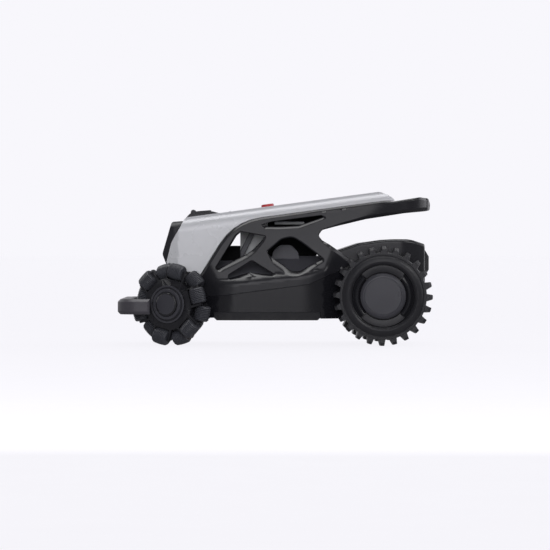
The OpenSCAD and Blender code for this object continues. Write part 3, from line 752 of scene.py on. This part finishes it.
# The shell's edge at its rear and at its front, as the outlines above
SHELL_SIDE = [(-290.5, 351, 0.6, 1.2), (-289.3, 354.5, 3, 1.2), (-279, 362.8, 18, 1.2),
              (-262, 370.5, 26, 1.2), (-250.5, 372.4, 8, 1.2)]
SHELL_FRONT = [(214.2, 310.4, 1, 1.2), (230, 287.5, 40, 1.2), (252, 249, 60, 1.2),
               (263.6, 202, 5, 1.2), (262, 190, 2, 1.2)]
SHELL_HALF, SHOULDER, SHELL_T = 157.0, 34.0, 3.5
ARC = SHOULDER * math.pi / 2


def shell_unroll(x, z):
    """Place along the shell's top, and way down from its middle line, of a point at x and z."""
    u = x * math.cos(SHELL_TILT) - (z - SHELL_Z) * math.sin(SHELL_TILT)
    w = min(0.0, x * math.sin(SHELL_TILT) + (z - SHELL_Z) * math.cos(SHELL_TILT))
    flat = SHELL_HALF - SHOULDER
    if w < -SHOULDER:
        return u, flat + ARC - SHOULDER - w
    return u, flat + SHOULDER * math.acos((w + SHOULDER) / SHOULDER)


def shell_place(u, way, depth):
    """Point of the rolled shell: flat top, round shoulders, upright sides brought in in front."""
    flat = SHELL_HALF - SHOULDER
    far = abs(way)
    if far < flat:
        y, w, ny, nw = far, 0.0, 0.0, 1.0
    elif far < flat + ARC:
        a = (far - flat) / SHOULDER
        ny, nw = math.sin(a), math.cos(a)
        y, w = flat + SHOULDER * ny, SHOULDER * (nw - 1)
    else:
        y, w, ny, nw = SHELL_HALF, -SHOULDER - (far - flat - ARC), 1.0, 0.0
    y, w = y - depth * ny, w - depth * nw
    x = u * math.cos(SHELL_TILT) + w * math.sin(SHELL_TILT)
    z = SHELL_Z - u * math.sin(SHELL_TILT) + w * math.cos(SHELL_TILT)
    limit = float(np.interp(x, PLAN_X, PLAN_SMOOTH)) - 3.0
    y -= max(0.0, SHELL_HALF - limit) * min(1.0, far / flat)
    return Vector((x, math.copysign(y, way), z)) * MM


def top_shell(mats):
    """Silver shell, one rolled sheet from seam to seam with a hole for the stop button."""
    seam = [(-262, 350.2, 20, 1.2), (99.3, 301.1, 139, 1.2), (181, 170.4, 0.6, 1.2)]
    half = [(*shell_unroll(x, z), r, w) for x, z, r, w in SHELL_FRONT + seam[::-1] + SHELL_SIDE]
    other = [(u, -way, r, w) for u, way, r, w in reversed(half)]
    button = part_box("stop_button")
    middle = (button[0] + button[1]) / 2 / MM
    u = shell_unroll(middle.x, middle.z)[0]
    clearance = 0.2
    r = (button[1].y - button[0].y) / 2 / MM + clearance
    hole = [(u - r, -r, r, 0.6), (u + r, -r, r, 0.6), (u + r, r, r, 0.6), (u - r, r, r, 0.6)]
    bm = bmesh.new()
    panel(bm, half + other, [hole], shell_place, SHELL_T, 5.0)
    make("rolled_shell", bm, mats["silver_shell"], "root", "top_shell")


def rear_shroud(mats):
    """Cover over the battery: domed along its length, with soft shoulders and rear corners."""
    top = [(-364, 245), (-350, 249.6), (-333, 255), (-320, 257), (-290, 257.2),
           (-262, 255.8), (-203, 247.4), (-152, 230.3)]
    low, full_half, bend_x, tail_x, r = 179.3, 168.0, -304.0, -364.0, 9.0
    ends = [(0.0, 4.0), (0.6, 1.8), (1.6, 0.7), (3.5, 0.0)]
    stations = [(tail_x + x, inset) for x, inset in ends]
    stations += [(x, 0.0) for x in np.arange(tail_x + 15, -152, 6.0)] + [(-152.0, 0.0)]
    bm = bmesh.new()
    rows = []
    for x, inset in stations:
        bend = max(0.0, (bend_x - x) / (bend_x - tail_x))
        half = full_half - 20 * bend ** 1.6 - inset
        z_top = float(np.interp(x, [p[0] for p in top], [p[1] for p in top])) - inset
        side = [(half, low)] + [(half, low + (z_top - r - low) * k / 4) for k in range(1, 4)]
        side += [(half - r + r * math.cos(a), z_top - r + r * math.sin(a))
                 for a in map(math.radians, range(0, 91, 10))]
        side += [((half - r) * k / 4, z_top) for k in (3, 2, 1)]
        section = side + [(0.0, z_top)] + [(-y, z) for y, z in reversed(side)]
        rows.append([bm.verts.new(Vector((x, y, z)) * MM) for y, z in section])
    for a, b in zip(rows, rows[1:]):
        strip(bm, a, b)
    bm.faces.new(rows[0])
    bm.faces.new(rows[-1])
    make("rear_shroud", bm, mats["charcoal_plastic"], "root", "rear_housing",
         smooth=40)


CONTACT_X, CONTACT_Y = -378.2, 20  # charging contacts on the pad's rear face
RAIN_U, RAIN_Y, RING_U = 112, 11, 175  # rain contacts and status ring on the shell's top


def trim(mats):
    """Small fixed pieces: rails and braces of the housing, contacts and sensors."""
    plates = {
        "rail": ([(1.4, 292.6, 1.5), (1.4, 300.4, 1.5), (-71.4, 300.4, 1.5),
                  (-71.4, 292.6, 1.5)], 80.6, 16.0, "light_plastic"),
        "brace": ([(48, 273, 2), (63, 273, 2), (94, 211, 2), (79, 211, 2)], 77.0, 12.9,
                  "deck_plastic")}
    for kind, (outline, reach, thick, slot) in plates.items():
        for side, sign in SIDES.items():
            bm = bmesh.new()
            panel(bm, outline, [], lambda x, z, d: Vector((x, sign * (reach - d), z)) * MM, thick)
            make(f"{side}_tower_{kind}", bm, mats[slot], "root", None)
    for side, sign in SIDES.items():
        bm = bmesh.new()
        y = sign * CONTACT_Y
        outline = [(y - 6, 187, 2), (y + 6, 187, 2), (y + 6, 211, 2), (y - 6, 211, 2)]
        panel(bm, outline, [], lambda y, z, d: Vector((CONTACT_X + d, y, z)) * MM, 1.6, 4.0)
        make(f"{side}_charge_contact", bm, mats["copper"], "root")
        bm = bmesh.new()
        lathe(bm, [(0, 0.2), (3.4, 0.2, 0.3), (3.4, 1.2, 0.6), (2.6, 1.9, 0.8), (0, 2.1)],
              shell_frame(RAIN_U, sign * RAIN_Y), 32, 0.6)
        make(f"{side}_rain_contact", bm, mats["steel"], "root", None)
    bm = bmesh.new()
    lathe(bm, [(6.6, 2.2), (8.6, 2.2), (8.6, 3.2, 0.4), (6.6, 3.2, 0.4)],
          shell_frame(RING_U, 0), 48, 1.0)
    make("status_ring", bm, mats["status_light"], "root")


def shell_frame(u, y):
    """at(r, turn, w) about an upright on the shell's tilted top, in millimetres."""
    along = Vector((math.cos(SHELL_TILT), 0, -math.sin(SHELL_TILT)))
    up = Vector((math.sin(SHELL_TILT), 0, math.cos(SHELL_TILT)))
    origin = Vector((0, y, SHELL_Z)) + along * u

    def at(r, turn, w):
        return (origin + along * r * math.cos(turn) + Vector((0, 1, 0)) * r * math.sin(turn)
                + up * w) * MM
    return at


# ---------------------------------------------------------------- camera, light, floor


BACKDROP = (248, 247, 252)
# Light from the studio by sine of the elevation, and by bearing from +Y towards +X in degrees
SKY = [(-1.0, 0.5), (-0.02, 0.9), (0.0, 1.15), (0.55, 1.2), (0.68, 0.7), (0.8, 0.1), (0.9, 0.2),
       (0.95, 0.4)]
BEARING = [(-180, 0.6), (-140, 1.2), (-115, 2.0), (-88, 1.9), (-70, 0.3), (-45, 0.08),
           (-13, 0.1), (-8, 1.35), (8, 1.35), (13, 0.1), (50, 0.06), (90, 0.25), (130, 0.9),
           (180, 0.6)]


def make_world(scene):
    """Soft studio light: a wide panel behind the camera and one overhead, dark between and
    at the sides, with a pale backdrop."""
    world = bpy.data.worlds.new("studio")
    scene.world = world
    world.use_nodes = True
    tree = world.node_tree
    link = tree.links.new
    background = tree.nodes["Background"]
    background.inputs["Color"].default_value = srgb(*BACKDROP)
    where = tree.nodes.new("ShaderNodeTexCoord")
    split = tree.nodes.new("ShaderNodeSeparateXYZ")
    link(where.outputs["Generated"], split.inputs["Vector"])

    def math_node(kind, a, b):
        made = tree.nodes.new("ShaderNodeMath")
        made.operation = kind
        for socket, value in zip(made.inputs, (a, b)):
            if isinstance(value, float):
                socket.default_value = value
            else:
                link(value, socket)
        return made.outputs["Value"]

    def ramp_node(value, low, high, table):
        """A ramp of levels over values from low to high; levels are stored over the top one."""
        spread = tree.nodes.new("ShaderNodeMapRange")
        spread.inputs["From Min"].default_value = low
        spread.inputs["From Max"].default_value = high
        link(value, spread.inputs["Value"])
        ramp = tree.nodes.new("ShaderNodeValToRGB")
        stops = ramp.color_ramp.elements
        while len(stops) < len(table):
            stops.new(0.5)
        top = max(level for place, level in table)
        for stop, (place, level) in zip(stops, table):
            stop.position = (place - low) / (high - low)
            stop.color = (level / top,) * 3 + (1.0,)
        link(spread.outputs["Result"], ramp.inputs["Fac"])
        return math_node("MULTIPLY", ramp.outputs["Color"], top)

    sky = ramp_node(split.outputs["Z"], -1.0, 1.0, SKY)
    angle = math_node("ARCTAN2", split.outputs["X"], split.outputs["Y"])
    bearing = ramp_node(angle, -math.pi, math.pi,
                        [(math.radians(place), level) for place, level in BEARING])
    lift = tree.nodes.new("ShaderNodeMapRange")
    lift.inputs["From Min"].default_value = 0.6
    lift.inputs["From Max"].default_value = 0.9
    link(split.outputs["Z"], lift.inputs["Value"])
    level = tree.nodes.new("ShaderNodeMix")
    level.inputs["B"].default_value = 1.0
    link(lift.outputs["Result"], level.inputs["Factor"])
    link(bearing, level.inputs["A"])
    light = math_node("MULTIPLY", sky, level.outputs["Result"])
    rays = tree.nodes.new("ShaderNodeLightPath")
    choose = tree.nodes.new("ShaderNodeMix")
    choose.inputs["B"].default_value = 1.0
    link(light, choose.inputs["A"])
    link(rays.outputs["Is Camera Ray"], choose.inputs["Factor"])
    link(choose.outputs["Result"], background.inputs["Strength"])


def floor_material():
    """Pale floor that glows almost as bright as the backdrop, so that only soft shade shows."""
    floor = finish_material("pale_floor", (66, 65, 68), 0.9, 60, 0.0, 0.01, specular=0.1)
    shader = floor.node_tree.nodes["Principled BSDF"]
    shader.inputs["Emission Color"].default_value = srgb(*BACKDROP)
    rays = floor.node_tree.nodes.new("ShaderNodeLightPath")
    glow = floor.node_tree.nodes.new("ShaderNodeMapRange")
    glow.inputs["To Min"].default_value = 0.2
    glow.inputs["To Max"].default_value = 0.925
    floor.node_tree.links.new(rays.outputs["Is Camera Ray"], glow.inputs["Value"])
    floor.node_tree.links.new(glow.outputs["Result"], shader.inputs["Emission Strength"])
    return floor


def make_stage():
    """Camera square to the left side, world, lights and floor."""
    scene = bpy.context.scene
    scene.view_settings.view_transform = "Standard"
    camera = bpy.data.objects.new("camera", bpy.data.cameras.new("camera"))
    scene.collection.objects.link(camera)
    scene.camera = camera
    distance, aim_z, side_y, half_view = 10.0, 0.171, 0.265, 0.66
    camera.location = (0.0, distance, 0.25)
    target = Vector((0.0, side_y, aim_z))
    camera.rotation_euler = (target - camera.location).to_track_quat("-Z", "Y").to_euler()
    camera.data.sensor_width = 36
    camera.data.lens = camera.data.sensor_width / 2 * (distance - side_y) / half_view
    camera.data.clip_end = 100

    make_world(scene)
    lights = {
        "overhead": ((0.0, 0.1, 2.8), (0.0, 0.0, 0.2), 3.0, 1.4, 42),
        "overhead_soft": ((0.0, 0.1, 2.8), (0.0, 0.0, 0.2), 3.0, 1.4, 3),
        "fill": ((0.3, 5.0, 1.2), (0.0, 0.2, 0.2), 3.0, 2.0, 100),
        "edge_rear": ((-2.1, 2.2, 2.0), (0.0, 0.1, 0.2), 1.4, 1.1, 15),
    }
    for name, (place, aim, size_x, size_y, power) in lights.items():
        data = bpy.data.lights.new(name, "AREA")
        data.shape = "RECTANGLE"
        data.size, data.size_y, data.energy = size_x, size_y, power
        light = bpy.data.objects.new(name, data)
        scene.collection.objects.link(light)
        light.location = place
        light.rotation_euler = (Vector(aim) - Vector(place)).to_track_quat("-Z", "Y").to_euler()
        light.visible_glossy = name not in ("fill", "overhead_soft")
        light.visible_diffuse = name not in ("overhead", "edge_rear")

    floor_mesh = bpy.data.meshes.new("floor")
    reach = 60.0
    floor_mesh.from_pydata([(-reach, -reach, 0), (reach, -reach, 0), (reach, reach, 0),
                            (-reach, reach, 0)], [], [(0, 1, 2, 3)])
    floor = bpy.data.objects.new("floor", floor_mesh)
    scene.collection.objects.link(floor)
    floor_mesh.materials.append(floor_material())


mats = make_materials()
side_frames(mats)
rear_wheels(mats)
front_wheels(mats)
carried_parts(mats)
top_shell(mats)
rear_shroud(mats)
trim(mats)
make_stage()
